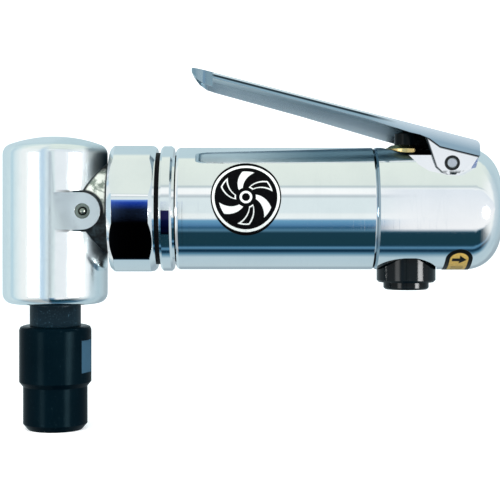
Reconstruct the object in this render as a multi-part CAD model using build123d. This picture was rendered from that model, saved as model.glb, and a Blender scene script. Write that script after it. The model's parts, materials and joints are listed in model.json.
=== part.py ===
from build123d import *
from math import acos, atan2, cos, hypot, pi, radians, sin, sqrt, tan
import os

# Pneumatic right-angle die grinder. Millimetres.
# Everything is drawn about the point where the spindle axis (Z) crosses the motor axis (X),
# and written out with the origin at the mouth of the collet.
# +X runs to the air inlet, +Z to the throttle lever, -Y to the side with the badge.

# ---- Angle head ----
HEAD_R = 17.4
HEAD_APEX_Z = 24.0
DOME_SPHERE_R = 44.0
DOME_EDGE_R = 3.5
HEAD_BOTTOM_Z = -31.5
HEAD_BOTTOM_EDGE_R = 3.3
CAVITY_R = 13.0
CAVITY_TOP_Z = 8.6
CAP_R = 13.8
CAP_TOP_Z = -24.6
CAP_BORE_R = 8.8
NECK_R = 15.0
NECK_END_X = 30.0
NECK_BORE_R = 11.0
NECK_GROOVE = (20.4, 22.4, 13.6)
TONGUE_Z = -0.8
TONGUE_R = 6.0
TONGUE_END_X = 10.8
TONGUE_FACE_Y = 17.3
FITTING_X = 11.1
FITTING_R = 2.5
FITTING_DEPTH = 3.6

# ---- Bevel gears ----
GEAR_MODULE = 1.1
PINION_TEETH = 15
GEAR_TEETH = 17
FACE_WIDTH = 4.0
PRESSURE_ANGLE = 20.0
TOOTH_THINNING = 0.14
PROFILE_STEPS = 4

# ---- Bearings: inner radius, outer radius, width, ball radius, ball count ----
SPINDLE_BEARING = (5.0, 13.0, 8.0, 2.38, 9)
SPINDLE_BEARING_Z = -20.6
SHAFT_BEARING = (4.0, 11.0, 7.0, 1.98, 8)
PINION_BEARING_X = (17.5, 25.5)
ROTOR_BEARING_X = (45.0, 90.5)
NEEDLE_SHELL = (4.0, 7.0, 8.8, 17.0)
NEEDLE_R = 1.0
NEEDLE_COUNT = 12

# ---- Spindle, collet and collet nut ----
GEAR_SEAT_R = 5.0
SPINDLE_TOP_Z = 17.6
NUT_THREAD_TOP_Z = -3.4
NOSE_R = 8.5
NOSE_TOP_Z = -25.2
NOSE_BOTTOM_Z = -38.9
NOSE_FLAT_AF = 12.6
NOSE_FLAT_TOP_Z = -32.4
NOSE_FLAT_TURN = 8.0
NOSE_THREAD_R = 7.9
NOSE_END_Z = -58.0
COLLET_BORE_R = 3.175
COLLET_TOP_Z = -48.0
COLLET_BOTTOM_Z = -69.5
NUT_TOP_R = 12.0
NUT_LOW_R = 10.7
NUT_STEP_Z = -57.6
NUT_BOTTOM_Z = -73.5
NUT_FLAT_AF = 23.0
NUT_FLAT_Z = (-54.3, -43.5)
NUT_FLAT_TURN = -20.0

# ---- Motor housing, nut and rings ----
BARREL_R = 20.3
BARREL_X = (40.5, 105.4)
NOSE_TUBE_X = 22.6
NOSE_TUBE_R = 17.0
MOTOR_BORE_R = 18.0
MOTOR_BORE_X = 41.6
SEAM_X = 106.1
SEAM_DEPTH = 0.45
CLAMP_NUT_X = (19.0, 34.2)
CLAMP_NUT_FLAT = 20.7
CLAMP_NUT_CORNER_R = 21.7
CLAMP_NUT_FACE_R = 20.0
CLAMP_NUT_CHAMFER = 1.7
CLAMP_NUT_TURN = 30.3
LOCK_RING_X = (35.7, 39.8)
LOCK_RING_R = 20.8

# ---- Vane motor ----
SLEEVE_X = (49.6, 85.0)
SLEEVE_BORE_R = 13.5
SLEEVE_OFFSET = 1.42
ROTOR_R = 12.0
ROTOR_GAP = 0.12
VANE_COUNT = 4
VANE_T = 1.5
VANE_SLOT_T = 1.6
VANE_FLOOR_R = 6.2
PLATE_FACE_X = (41.6, 93.5)
SPIGOT_X = 94.5

# ---- Throttle housing and valve ----
REAR_X = 147.7
REAR_EDGE_R = 11.0
VALVE_X = 117.1
PORT_R = 7.0
RELIEF_R = 8.6
RELIEF_Z = 17.9
BUSHING_R = 7.1
BUSHING_TOP_Z = 21.0
BUSHING_RIM_R = 5.0
BUSHING_LOW_Z = 9.5
PLUNGER_R = 3.9
PLUNGER_BORE_R = 3.95
PLUNGER_DOME_R = 6.0
STEM_R = 2.0
LEVER_REST_GAP = 0.06
POPPET_R = 4.6
POPPET_Z = (-0.8, 1.4)
SEAT_Z = 3.6
SPRING_WIRE_R = 0.4
SPRING_R = 3.4
SPRING_TURNS = 6.5
SPRING_FLOOR_Z = -12.6
KNOB_RELIEF_R = 10.1
KNOB_RELIEF_Y = 12.4
KNOB_RELIEF_Z = -16.2
KNOB_R = 9.8
KNOB_STEP_Z = -24.5
KNOB_LOW_R = 7.55
KNOB_BOTTOM_Z = -26.9
KNOB_BODY_TOP_Z = -5.6
CLIP_Z = -14.4
INLET_R = 5.75
INLET_BUSHING_R = 8.5
INLET_X = 132.5
POCKET_WALL_Y = 10.4
POCKET_FLOOR = [(116.9, 17.4), (119.5, 14.2), (122.7, 12.1), (129.0, 10.6), (133.4, 10.6), (137.9, 13.2)]

# ---- Lever ----
PIVOT_X = 130.8
PIVOT_Z = 14.85
PIN_R = 1.6
PIN_END_Y = 12.5
PIN_CLIP_R = 2.45
LEVER_T = 1.2
LEVER_HALF_W = 12.3
NOSE_CORNER_R = 5.0
EAR_OUT_Y = 11.6
EAR_IN_Y = 10.5
LEVER_TOP = [(48.75, 45.4), (133.3, 23.6)]
LEVER_X = (45.8, 139.8)
REAR_ROUND_R = 2.0
NOSE_EDGE = [(45.8, 0.6), (46.0, 1.6), (47.8, 3.4), (50.3, 4.5), (52.8, 4.7)]
NEAR_EDGE = [(52.9, 1.9), (104.0, 2.15), (117.0, 3.0), (120.2, 2.9), (123.5, 3.4)]
FAR_EDGE = [(82.0, 5.2), (109.5, 6.2), (118.0, 6.4), (123.2, 6.8)]
CREASE = [(126.8, 20.3), (139.8, 17.1)]
EAR_EDGE = [(121.9, 23.7), (123.8, 18.5), (124.8, 15.5), (125.7, 13.4), (127.5, 11.7), (129.4, 11.05)]
EAR_BACK = [(132.2, 11.05), (134.4, 12.0), (136.2, 13.9)]

# ---- Badge and label ----
BADGE_X = 63.7
BADGE_SIZE = (11.3, 11.8)
BADGE_ANGLE = 10.3
LABEL_X = 133.0
LABEL_W = 8.8
LABEL_ANGLE = -68.0


def turned_z(points):
    """Solid of revolution about Z from (radius, z) points."""
    face = make_face(Plane.XZ * Polyline(*points, close=True))
    return revolve(face, Axis.Z)


def turned_x(points):
    """Solid of revolution about X from (x, radius) points."""
    face = make_face(Plane.XZ * Polyline(*points, close=True))
    return revolve(face, Axis.X)


def ring_x(x0, x1, inner, outer):
    return turned_x([(x0, inner), (x0, outer), (x1, outer), (x1, inner)])


def ring_z(z0, z1, inner, outer):
    return turned_z([(inner, z0), (outer, z0), (outer, z1), (inner, z1)])


def rod_x(x0, x1, r, y=0.0, z=0.0):
    return Pos((x0 + x1) / 2, y, z) * Rot(0, 90, 0) * Cylinder(r, x1 - x0)


def rod_z(z0, z1, r, x=0.0, y=0.0):
    return Pos(x, y, (z0 + z1) / 2) * Cylinder(r, z1 - z0)


def rod_y(y0, y1, r, x, z):
    return Pos(x, (y0 + y1) / 2, z) * Rot(90, 0, 0) * Cylinder(r, y1 - y0)


def block(x0, x1, y0, y1, z0, z1):
    return Pos((x0 + x1) / 2, (y0 + y1) / 2, (z0 + z1) / 2) * Box(x1 - x0, y1 - y0, z1 - z0)


def side_prism(points, y0, y1):
    """Outline in X and Z, pulled along Y from y0 to y1."""
    face = make_face(Plane.XZ * Polyline(*points, close=True))
    return Pos(0, (y0 + y1) / 2, 0) * extrude(face, amount=(y1 - y0) / 2, both=True)


def group(solids):
    return Compound(children=list(solids))


def ball_bearing(spec):
    """Inner race, outer race and balls about Z, centred on the origin."""
    inner_r, outer_r, width, ball_r, count = spec
    mid = (inner_r + outer_r) / 2
    land = 0.45 * ball_r
    groove = Torus(mid, ball_r * 1.02)
    inner = ring_z(-width / 2, width / 2, inner_r, mid - land) - groove
    outer = ring_z(-width / 2, width / 2, mid + land, outer_r) - groove
    balls = []
    for i in range(count):
        a = 2 * pi * i / count
        balls.append(Pos(mid * cos(a), mid * sin(a), 0) * Sphere(ball_r))
    return inner, outer, group(balls)


def bearing_set(spec, places):
    """The same bearing at several places, each node kept as a group."""
    inner, outer, balls = ball_bearing(spec)
    inners = group([place * inner for place in places])
    outers = group([place * outer for place in places])
    ball_groups = group([place * ball for place in places for ball in balls.solids()])
    return inners, outers, ball_groups


def involute(base_r, r):
    """Polar angle of the involute of base_r where it reaches radius r."""
    pressure = acos(min(1.0, base_r / r))
    return tan(pressure) - pressure


def tooth_outline(teeth, cone_angle):
    """Flank points (width, height) of one tooth on the back cone, about the pitch point."""
    pitch_v = GEAR_MODULE * teeth / 2 / cos(cone_angle)
    base_v = pitch_v * cos(radians(PRESSURE_ANGLE))
    root_v = pitch_v - 1.25 * GEAR_MODULE
    tip_v = pitch_v + GEAR_MODULE
    half = (pi * GEAR_MODULE / 2 - TOOTH_THINNING) / 2 / pitch_v
    start = max(base_v, root_v)
    right = []
    for i in range(PROFILE_STEPS + 1):
        r = start + (tip_v - start) * i / PROFILE_STEPS
        a = half + involute(base_v, pitch_v) - involute(base_v, r)
        right.append((r * sin(a), r * cos(a) - pitch_v))
    foot_w = right[0][0]
    right.insert(0, (foot_w, -1.6 * GEAR_MODULE))
    return right + [(-w, h) for w, h in reversed(right)]


def bevel_teeth(teeth, cone_angle, cone_distance):
    """Teeth of a bevel gear whose apex is the origin and whose axis is +X."""
    outline = tooth_outline(teeth, cone_angle)
    inner_scale = (cone_distance - FACE_WIDTH) / cone_distance
    axial = cone_distance * cos(cone_angle)
    radial = cone_distance * sin(cone_angle)
    rings = []
    for scale in (1.0, inner_scale):
        points = []
        for w, h in outline:
            x = (axial - h * sin(cone_angle)) * scale
            z = (radial + h * cos(cone_angle)) * scale
            points.append(Vector(x, w * scale, z))
        rings.append(Wire.make_polygon(points, close=True))
    tooth = Solid.make_loft(rings, ruled=True)
    return [Rot(360.0 * i / teeth, 0, 0) * tooth for i in range(teeth)]


def bevel_body(cone_angle, cone_distance, hub):
    """Root cone of a bevel gear about +X, with the hub's (x, radius) points behind it."""
    inner_scale = (cone_distance - FACE_WIDTH) / cone_distance
    drop = 1.25 * GEAR_MODULE
    x = cone_distance * cos(cone_angle) + drop * sin(cone_angle)
    r = cone_distance * sin(cone_angle) - drop * cos(cone_angle)
    front = [(x * inner_scale, 0), (x * inner_scale, r * inner_scale), (x, r)]
    return turned_x(front + hub)


def wire_helix(r, wire_r, z0, z1, turns):
    """Compression spring between z0 and z1, centred on the valve axis."""
    pitch = (z1 - z0 - 2 * wire_r) / turns
    path = Pos(0, 0, z0 + wire_r) * Helix(pitch, pitch * turns, r)
    section = Plane(origin=path @ 0, z_dir=path % 0) * Circle(wire_r)
    return sweep(section, path=path, is_frenet=True)


# ================= angle head =================
dome_drop = DOME_SPHERE_R - sqrt(DOME_SPHERE_R ** 2 - HEAD_R ** 2)
mid_drop = DOME_SPHERE_R - sqrt(DOME_SPHERE_R ** 2 - (HEAD_R / 2) ** 2)
shoulder = (HEAD_R, HEAD_APEX_Z - dome_drop)
head_sides = Polyline((0, HEAD_APEX_Z), (0, HEAD_BOTTOM_Z), (HEAD_R, HEAD_BOTTOM_Z), shoulder)
head_dome = ThreePointArc(shoulder, (HEAD_R / 2, HEAD_APEX_Z - mid_drop), (0, HEAD_APEX_Z))
head_outline = make_face(head_sides + head_dome)
rim = head_outline.vertices().group_by(Axis.X)[-1].sort_by(Axis.Y)
head_outline = fillet(rim[-1], DOME_EDGE_R)
rim = head_outline.vertices().group_by(Axis.Y)[0].sort_by(Axis.X)
head_outline = fillet(rim[-1], HEAD_BOTTOM_EDGE_R)
head = revolve(Plane.XZ * head_outline, Axis.Z)
head += rod_x(0, NECK_END_X, NECK_R)
tongue_low = TONGUE_Z - TONGUE_R
tongue_high = TONGUE_Z + TONGUE_R
tongue = block(0, TONGUE_END_X, -TONGUE_FACE_Y, TONGUE_FACE_Y, tongue_low, tongue_high)
tongue += rod_y(-TONGUE_FACE_Y, TONGUE_FACE_Y, TONGUE_R, TONGUE_END_X, TONGUE_Z)
head += tongue
head -= rod_z(HEAD_BOTTOM_Z, CAVITY_TOP_Z, CAVITY_R)
head -= rod_z(HEAD_BOTTOM_Z, CAP_TOP_Z, CAP_R)
head -= rod_z(CAVITY_TOP_Z - 1, NEEDLE_SHELL[3], NEEDLE_SHELL[1])
head -= rod_z(CAVITY_TOP_Z, SPINDLE_TOP_Z + 0.6, NEEDLE_SHELL[0] + 0.6)
head -= rod_x(0, NECK_END_X, NECK_BORE_R)
head -= ring_x(NECK_GROOVE[0], NECK_GROOVE[1], NECK_GROOVE[2], NECK_R + 1)
for side in (-1, 1):
    y_face = side * TONGUE_FACE_Y
    y_floor = side * (TONGUE_FACE_Y - FITTING_DEPTH)
    head -= rod_y(min(y_face, y_floor), max(y_face, y_floor), FITTING_R, FITTING_X, TONGUE_Z)

fitting_y = -TONGUE_FACE_Y + FITTING_DEPTH
grease_cup = rod_y(-TONGUE_FACE_Y + 0.7, fitting_y, FITTING_R, FITTING_X, TONGUE_Z)
grease_cup -= rod_y(-TONGUE_FACE_Y, fitting_y - 1.4, 1.5, FITTING_X, TONGUE_Z)
grease_ball = Pos(FITTING_X, fitting_y - 2.3, TONGUE_Z) * Sphere(1.35)
grease_cup -= Pos(FITTING_X, fitting_y - 2.3, TONGUE_Z) * Sphere(1.36)
head_plug = rod_y(TONGUE_FACE_Y - FITTING_DEPTH, TONGUE_FACE_Y - 0.4, FITTING_R, FITTING_X, TONGUE_Z)
head_plug -= block(FITTING_X - 2.6, FITTING_X + 2.6, TONGUE_FACE_Y - 1.4, TONGUE_FACE_Y,
                   TONGUE_Z - 0.4, TONGUE_Z + 0.4)

bearing_cap = ring_z(HEAD_BOTTOM_Z, CAP_TOP_Z, CAP_BORE_R, CAP_R)
for i in range(4):
    bearing_cap -= Rot(0, 0, 45 + 90 * i) * rod_z(HEAD_BOTTOM_Z, HEAD_BOTTOM_Z + 2, 0.9, 11.5)

# ================= spindle group =================
cone_distance = GEAR_MODULE * hypot(PINION_TEETH, GEAR_TEETH) / 2
pinion_cone = atan2(PINION_TEETH, GEAR_TEETH)
gear_cone = pi / 2 - pinion_cone
gear_hub_end = -SPINDLE_BEARING_Z - SPINDLE_BEARING[2] / 2
gear_hub = [(10.6, 7.4), (gear_hub_end, 7.4), (gear_hub_end, 0)]
bevel_gear = bevel_body(gear_cone, cone_distance, gear_hub)
for tooth in bevel_teeth(GEAR_TEETH, gear_cone, cone_distance):
    bevel_gear = bevel_gear + tooth
bevel_gear = Rot(0, 90, 0) * bevel_gear
bevel_gear -= rod_z(-20, 0, GEAR_SEAT_R)
key_x = (GEAR_SEAT_R - 1.2, GEAR_SEAT_R + 1.0)
key_z = (-15.4, -11.0)
gear_key = block(key_x[0], key_x[1], -1, 1, key_z[0], key_z[1])
bevel_gear -= block(0, key_x[1], -1, 1, gear_hub_end * -1, key_z[1])

gear_face_z = -(cone_distance * cos(gear_cone) + 1.25 * GEAR_MODULE * sin(gear_cone))
gear_face_z *= (cone_distance - FACE_WIDTH) / cone_distance
lock_nut_hex = Pos(0, 0, gear_face_z) * extrude(RegularPolygon(4.9, 6), NUT_THREAD_TOP_Z - gear_face_z)
gear_lock_nut = lock_nut_hex - rod_z(gear_face_z - 1, 0, NEEDLE_SHELL[0])

spindle = rod_z(gear_face_z, SPINDLE_TOP_Z, NEEDLE_SHELL[0])
spindle += rod_z(NOSE_TOP_Z + 0.4, gear_face_z, GEAR_SEAT_R)
spindle += rod_z(NOSE_TOP_Z, SPINDLE_BEARING_Z - SPINDLE_BEARING[2] / 2, 6.4)
nose = rod_z(NOSE_BOTTOM_Z, NOSE_TOP_Z, NOSE_R)
flat = NOSE_FLAT_AF / 2
for side in (0, 180):
    flat_cut = block(-NOSE_R, NOSE_R, -NOSE_R, -flat, NOSE_BOTTOM_Z, NOSE_FLAT_TOP_Z)
    nose -= Rot(0, 0, side + NOSE_FLAT_TURN) * flat_cut
spindle += nose
spindle += rod_z(NOSE_END_Z, NOSE_BOTTOM_Z, NOSE_THREAD_R)
spindle -= rod_z(NOSE_END_Z, COLLET_TOP_Z + 6, COLLET_BORE_R + 0.3)
spindle -= turned_z([(0, COLLET_TOP_Z), (4.2, COLLET_TOP_Z), (6.2, NOSE_END_Z), (0, NOSE_END_Z)])
spindle -= block(0, key_x[1], -1, 1, key_z[0], key_z[1])
spindle = spindle.solids().sort_by(SortBy.VOLUME)[-1]

sp_inner, sp_outer, sp_balls = ball_bearing(SPINDLE_BEARING)
sp_place = Pos(0, 0, SPINDLE_BEARING_Z)
needle_in, needle_out, needle_z0, needle_z1 = NEEDLE_SHELL
needle_shell = ring_z(needle_z0, needle_z1, needle_in + 2 * NEEDLE_R + 0.04, needle_out)
needle_circle = needle_in + NEEDLE_R + 0.02
needles = []
for i in range(NEEDLE_COUNT):
    a = 2 * pi * i / NEEDLE_COUNT
    needles.append(rod_z(needle_z0 + 0.5, needle_z1 - 0.5, NEEDLE_R,
                         needle_circle * cos(a), needle_circle * sin(a)))

# ================= collet and its nut =================
gap = 0.02
collet = turned_z([(0, COLLET_TOP_Z - gap), (4.2 - gap, COLLET_TOP_Z - gap), (6.2 - gap, NOSE_END_Z),
                   (7.0, -59.2), (7.0, -61.4), (5.0, -65.4), (5.0, COLLET_BOTTOM_Z), (0, COLLET_BOTTOM_Z)])
collet -= rod_z(COLLET_BOTTOM_Z, COLLET_TOP_Z, COLLET_BORE_R)
for i in range(3):
    collet -= Rot(0, 0, 120 * i + 30) * block(0, 8, -0.4, 0.4, COLLET_BOTTOM_Z, COLLET_TOP_Z - 3.5)
    collet -= Rot(0, 0, 120 * i + 90) * block(0, 8, -0.4, 0.4, COLLET_BOTTOM_Z + 6.0, COLLET_TOP_Z)

nut_bore = NOSE_THREAD_R + 0.06
nut_top_z = NOSE_BOTTOM_Z - 0.1
collet_nut = turned_z([
    (nut_bore, nut_top_z), (NUT_TOP_R - 1.4, nut_top_z), (NUT_TOP_R - 0.4, nut_top_z - 0.4),
    (NUT_TOP_R, nut_top_z - 1.4),
    (NUT_TOP_R, NUT_STEP_Z), (NUT_LOW_R, NUT_STEP_Z - 1.6), (NUT_LOW_R, NUT_BOTTOM_Z + 2.0),
    (NUT_LOW_R - 1.7, NUT_BOTTOM_Z), (6.2, NUT_BOTTOM_Z), (5.1, NUT_BOTTOM_Z + 1.1), (5.1, -65.4 - gap),
    (7.05, -61.5), (nut_bore, -61.5)])
for side in (0, 180):
    turn = NUT_FLAT_TURN + side
    collet_nut -= Rot(0, 0, turn) * block(NUT_FLAT_AF / 2, NUT_TOP_R + 1, -NUT_TOP_R, NUT_TOP_R,
                                          NUT_FLAT_Z[0], NUT_FLAT_Z[1])

# ================= pinion =================
pinion_hub = [(11.6, 7.2), (12.4, 6.0), (14.0, 6.0), (14.0, 0)]
bevel_pinion = bevel_body(pinion_cone, cone_distance, pinion_hub)
for tooth in bevel_teeth(PINION_TEETH, pinion_cone, cone_distance):
    bevel_pinion = bevel_pinion + tooth
bevel_pinion += rod_x(13.9, 31.0, SHAFT_BEARING[0])
bevel_pinion += rod_x(30.0, 38.0, 6.0)
hex_socket = Pos(33.0, 0, 0) * Rot(0, 90, 0) * extrude(RegularPolygon(3.3, 6, major_radius=False), 5.0)
bevel_pinion -= hex_socket

x_axis_turn = Rot(0, 90, 0)
pinion_places = [Pos(x, 0, 0) * x_axis_turn for x in PINION_BEARING_X]
pin_inner, pin_outer, pin_balls = bearing_set(SHAFT_BEARING, pinion_places)
rotor_places = [Pos(x, 0, 0) * x_axis_turn for x in ROTOR_BEARING_X]
rot_inner, rot_outer, rot_balls = bearing_set(SHAFT_BEARING, rotor_places)
retain_x = PINION_BEARING_X[1] + SHAFT_BEARING[2] / 2
pinion_retaining_ring = ring_x(retain_x, NECK_END_X, 8.6, NECK_BORE_R)

# ================= clamp nut, rings, motor housing =================
neck_ring = ring_x(NECK_GROOVE[0], NECK_GROOVE[1], NECK_GROOVE[2], 16.7)
neck_ring -= block(0, 40, -1.2, 1.2, 0, 20)

hexagon = Rot(0, 90, 0) * extrude(RegularPolygon(CLAMP_NUT_FLAT, 6, major_radius=False),
                                  CLAMP_NUT_X[1] - CLAMP_NUT_X[0])
hexagon = Pos(CLAMP_NUT_X[0], 0, 0) * Rot(CLAMP_NUT_TURN, 0, 0) * hexagon
nut_x0, nut_x1 = CLAMP_NUT_X
clamp_nut = hexagon & turned_x([
    (nut_x0, 0), (nut_x0, CLAMP_NUT_FACE_R), (nut_x0 + CLAMP_NUT_CHAMFER, CLAMP_NUT_CORNER_R),
    (nut_x1 - CLAMP_NUT_CHAMFER, CLAMP_NUT_CORNER_R), (nut_x1, CLAMP_NUT_FACE_R), (nut_x1, 0)])
clamp_nut -= rod_x(nut_x0, NECK_GROOVE[0], NECK_R + 0.1)
clamp_nut -= rod_x(NECK_GROOVE[0], nut_x1, NOSE_TUBE_R)

seal_ring = ring_x(nut_x1, LOCK_RING_X[0], NOSE_TUBE_R, NOSE_TUBE_R + 1.6)
ring_x0, ring_x1 = LOCK_RING_X
lock_ring = turned_x([
    (ring_x0, NOSE_TUBE_R), (ring_x0, LOCK_RING_R - 0.7), (ring_x0 + 0.7, LOCK_RING_R),
    (ring_x1 - 0.7, LOCK_RING_R), (ring_x1, LOCK_RING_R - 0.7), (ring_x1, NOSE_TUBE_R)])

barrel_x0, barrel_x1 = BARREL_X
motor_housing = turned_x([
    (NOSE_TUBE_X, NECK_R + 0.02), (NOSE_TUBE_X, NOSE_TUBE_R), (barrel_x0, NOSE_TUBE_R),
    (barrel_x0, BARREL_R - 1.3), (barrel_x0 + 0.5, BARREL_R - 0.4), (barrel_x0 + 1.4, BARREL_R),
    (barrel_x1 - 0.1, BARREL_R), (SEAM_X - 0.05, BARREL_R - SEAM_DEPTH), (SEAM_X - 0.05, MOTOR_BORE_R),
    (MOTOR_BORE_X, MOTOR_BORE_R), (MOTOR_BORE_X, NECK_R + 0.02)])

# ================= vane motor =================
sleeve_x0, sleeve_x1 = SLEEVE_X
plate_x0, plate_x1 = PLATE_FACE_X
front_end_plate = ring_x(plate_x0, sleeve_x0, 5.6, MOTOR_BORE_R)
front_end_plate -= rod_x(plate_x0 - 1, ROTOR_BEARING_X[0] + 3.5, SHAFT_BEARING[1])
rear_end_plate = ring_x(sleeve_x1, plate_x1, 5.6, MOTOR_BORE_R)
rear_end_plate -= rod_x(ROTOR_BEARING_X[1] - 3.5, plate_x1 + 1, SHAFT_BEARING[1])
cylinder_sleeve = rod_x(sleeve_x0, sleeve_x1, MOTOR_BORE_R)
cylinder_sleeve -= rod_x(sleeve_x0, sleeve_x1, SLEEVE_BORE_R, 0, SLEEVE_OFFSET)
for dx in (-9, 0, 9):
    cylinder_sleeve -= rod_y(-30, 0, 1.3, (sleeve_x0 + sleeve_x1) / 2 + dx, -6.0)
dowel_z = -15.2
dowel_pin = rod_x(44.0, 88.0, 1.1, 0, dowel_z)
front_end_plate -= dowel_pin
rear_end_plate -= dowel_pin
cylinder_sleeve -= dowel_pin
motor_port = rod_x(sleeve_x1 - 6, SPIGOT_X + 2, 1.5, 0, 16.0)
rear_end_plate -= motor_port
cylinder_sleeve -= motor_port

rotor = rod_x(sleeve_x0 + ROTOR_GAP, sleeve_x1 - ROTOR_GAP, ROTOR_R)
vane_x0 = sleeve_x0 + ROTOR_GAP
vane_x1 = sleeve_x1 - ROTOR_GAP
vanes = []
for i in range(VANE_COUNT):
    turn = Rot(360.0 * i / VANE_COUNT + 20, 0, 0)
    rotor -= turn * block(vane_x0, vane_x1, -VANE_SLOT_T / 2, VANE_SLOT_T / 2, VANE_FLOOR_R, ROTOR_R + 1)
    vane = block(vane_x0 + 0.05, vane_x1 - 0.05, -VANE_T / 2, VANE_T / 2, VANE_FLOOR_R + 0.1, ROTOR_R + 1)
    vanes.append(turn * (vane & rod_x(vane_x0, vane_x1, ROTOR_R)))
rotor += rod_x(38.0, vane_x0, SHAFT_BEARING[0])
rotor += Pos(33.2, 0, 0) * Rot(0, 90, 0) * extrude(RegularPolygon(3.25, 6, major_radius=False), 4.8)
rotor += rod_x(vane_x1, ROTOR_BEARING_X[1] + 3.5, SHAFT_BEARING[0])

gasket = ring_x(plate_x1, SPIGOT_X, 12.5, MOTOR_BORE_R)
gasket -= rod_x(plate_x1 - 1, SPIGOT_X + 1, 1.5, 0, 16.0)

# ================= throttle housing =================
spigot = ring_x(SPIGOT_X, SEAM_X, 12.5, MOTOR_BORE_R) + rod_x(98.5, SEAM_X, MOTOR_BORE_R)
seam_r = BARREL_R - SEAM_DEPTH
shell = turned_x([(SEAM_X, 0), (SEAM_X, seam_r), (SEAM_X + 0.7, BARREL_R), (REAR_X, BARREL_R), (REAR_X, 0)])
shell = fillet(shell.edges().filter_by(GeomType.CIRCLE).group_by(Axis.X)[-1], REAR_EDGE_R)
housing = shell + spigot
rise = 40
floor = POCKET_FLOOR + [(POCKET_FLOOR[-1][0] + 12, rise), (POCKET_FLOOR[0][0] - 8, rise)]
for y0, y1 in ((-30, -POCKET_WALL_Y), (POCKET_WALL_Y, 30)):
    housing -= side_prism(floor, y0, y1)
housing -= rod_z(RELIEF_Z, 30, RELIEF_R, VALVE_X)
housing -= rod_z(BUSHING_LOW_Z, 30, BUSHING_R - 0.6, VALVE_X)
housing -= rod_z(SEAT_Z, BUSHING_LOW_Z + 1, 5.4, VALVE_X)
housing -= rod_z(KNOB_RELIEF_Z, SEAT_Z - 1.2, PORT_R, VALVE_X)
housing -= rod_z(SEAT_Z - 2, SEAT_Z + 1, 3.4, VALVE_X)
knob_reach = KNOB_RELIEF_Y - KNOB_RELIEF_R
for y in (-knob_reach, knob_reach):
    housing -= rod_z(-30, KNOB_RELIEF_Z, KNOB_RELIEF_R, VALVE_X, y)
relief_x = (VALVE_X - KNOB_RELIEF_R, VALVE_X + KNOB_RELIEF_R)
housing -= block(relief_x[0], relief_x[1], -knob_reach, knob_reach, -30, KNOB_RELIEF_Z)
housing -= rod_x(VALVE_X, INLET_X, 4.2, 0, -1.0)
housing -= rod_x(INLET_X, REAR_X, INLET_BUSHING_R)
housing -= rod_x(SPIGOT_X, VALVE_X, 1.5, 0, 6.6)
housing -= rod_x(98.0, 100.0, 1.5, 0, 6.6)
housing -= rod_y(-POCKET_WALL_Y - 1, POCKET_WALL_Y + 1, PIN_R, PIVOT_X, PIVOT_Z)
clip_groove = Pos(VALVE_X, 0, 0) * ring_z(CLIP_Z - 0.5, CLIP_Z + 0.5, PORT_R - 0.5, PORT_R + 0.5)
housing -= clip_groove

inlet_bushing = rod_x(INLET_X + 1.0, REAR_X, INLET_BUSHING_R) - rod_x(INLET_X, REAR_X, INLET_R)
inlet_screen = rod_x(INLET_X, INLET_X + 1.0, INLET_BUSHING_R)
for i in range(-2, 3):
    for j in range(-2, 3):
        inlet_screen -= rod_x(INLET_X - 1, INLET_X + 2, 0.75, 2.1 * i, 2.1 * j)

valve_bushing = turned_z([
    (PLUNGER_BORE_R, BUSHING_TOP_Z), (BUSHING_RIM_R, BUSHING_TOP_Z), (BUSHING_R, BUSHING_TOP_Z - 1.2),
    (BUSHING_R, RELIEF_Z), (BUSHING_R - 0.6, RELIEF_Z), (BUSHING_R - 0.6, BUSHING_LOW_Z),
    (STEM_R + 0.05, BUSHING_LOW_Z), (STEM_R + 0.05, BUSHING_LOW_Z + 3.0),
    (PLUNGER_BORE_R, BUSHING_LOW_Z + 3.0)])
valve_bushing = Pos(VALVE_X, 0, 0) * valve_bushing

# The plunger's domed top rides under the lever plate.
run = LEVER_TOP[1][0] - LEVER_TOP[0][0]
fall = LEVER_TOP[0][1] - LEVER_TOP[1][1]
slope = fall / run
tilt = atan2(fall, run)


def lever_line(x, depth=0.0):
    """Height of the lever plate's top face at x, lowered by a depth square to the plate."""
    return LEVER_TOP[0][1] - slope * (x - LEVER_TOP[0][0]) - depth / cos(tilt)


dome_z = lever_line(VALVE_X, LEVER_T) - PLUNGER_DOME_R / cos(tilt) - LEVER_REST_GAP
plunger_low_z = BUSHING_TOP_Z - 4.6
plunger = rod_z(plunger_low_z, dome_z + PLUNGER_DOME_R, PLUNGER_R, VALVE_X)
plunger_top = Pos(VALVE_X, 0, dome_z) * Sphere(PLUNGER_DOME_R)
plunger &= plunger_top + rod_z(plunger_low_z, dome_z, PLUNGER_R, VALVE_X)
plunger += rod_z(POPPET_Z[0], plunger_low_z, STEM_R, VALVE_X)
plunger += rod_z(POPPET_Z[0], POPPET_Z[1], POPPET_R, VALVE_X)
plunger += rod_z(POPPET_Z[0] - 2.0, POPPET_Z[0], STEM_R, VALVE_X)
washer = ring_z(POPPET_Z[1], SEAT_Z - 1.2, STEM_R, POPPET_R - 0.3)
plunger_washer = Pos(VALVE_X, 0, 0) * washer

spring = Pos(VALVE_X, 0, 0) * wire_helix(SPRING_R, SPRING_WIRE_R, SPRING_FLOOR_Z, POPPET_Z[0], SPRING_TURNS)

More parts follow.
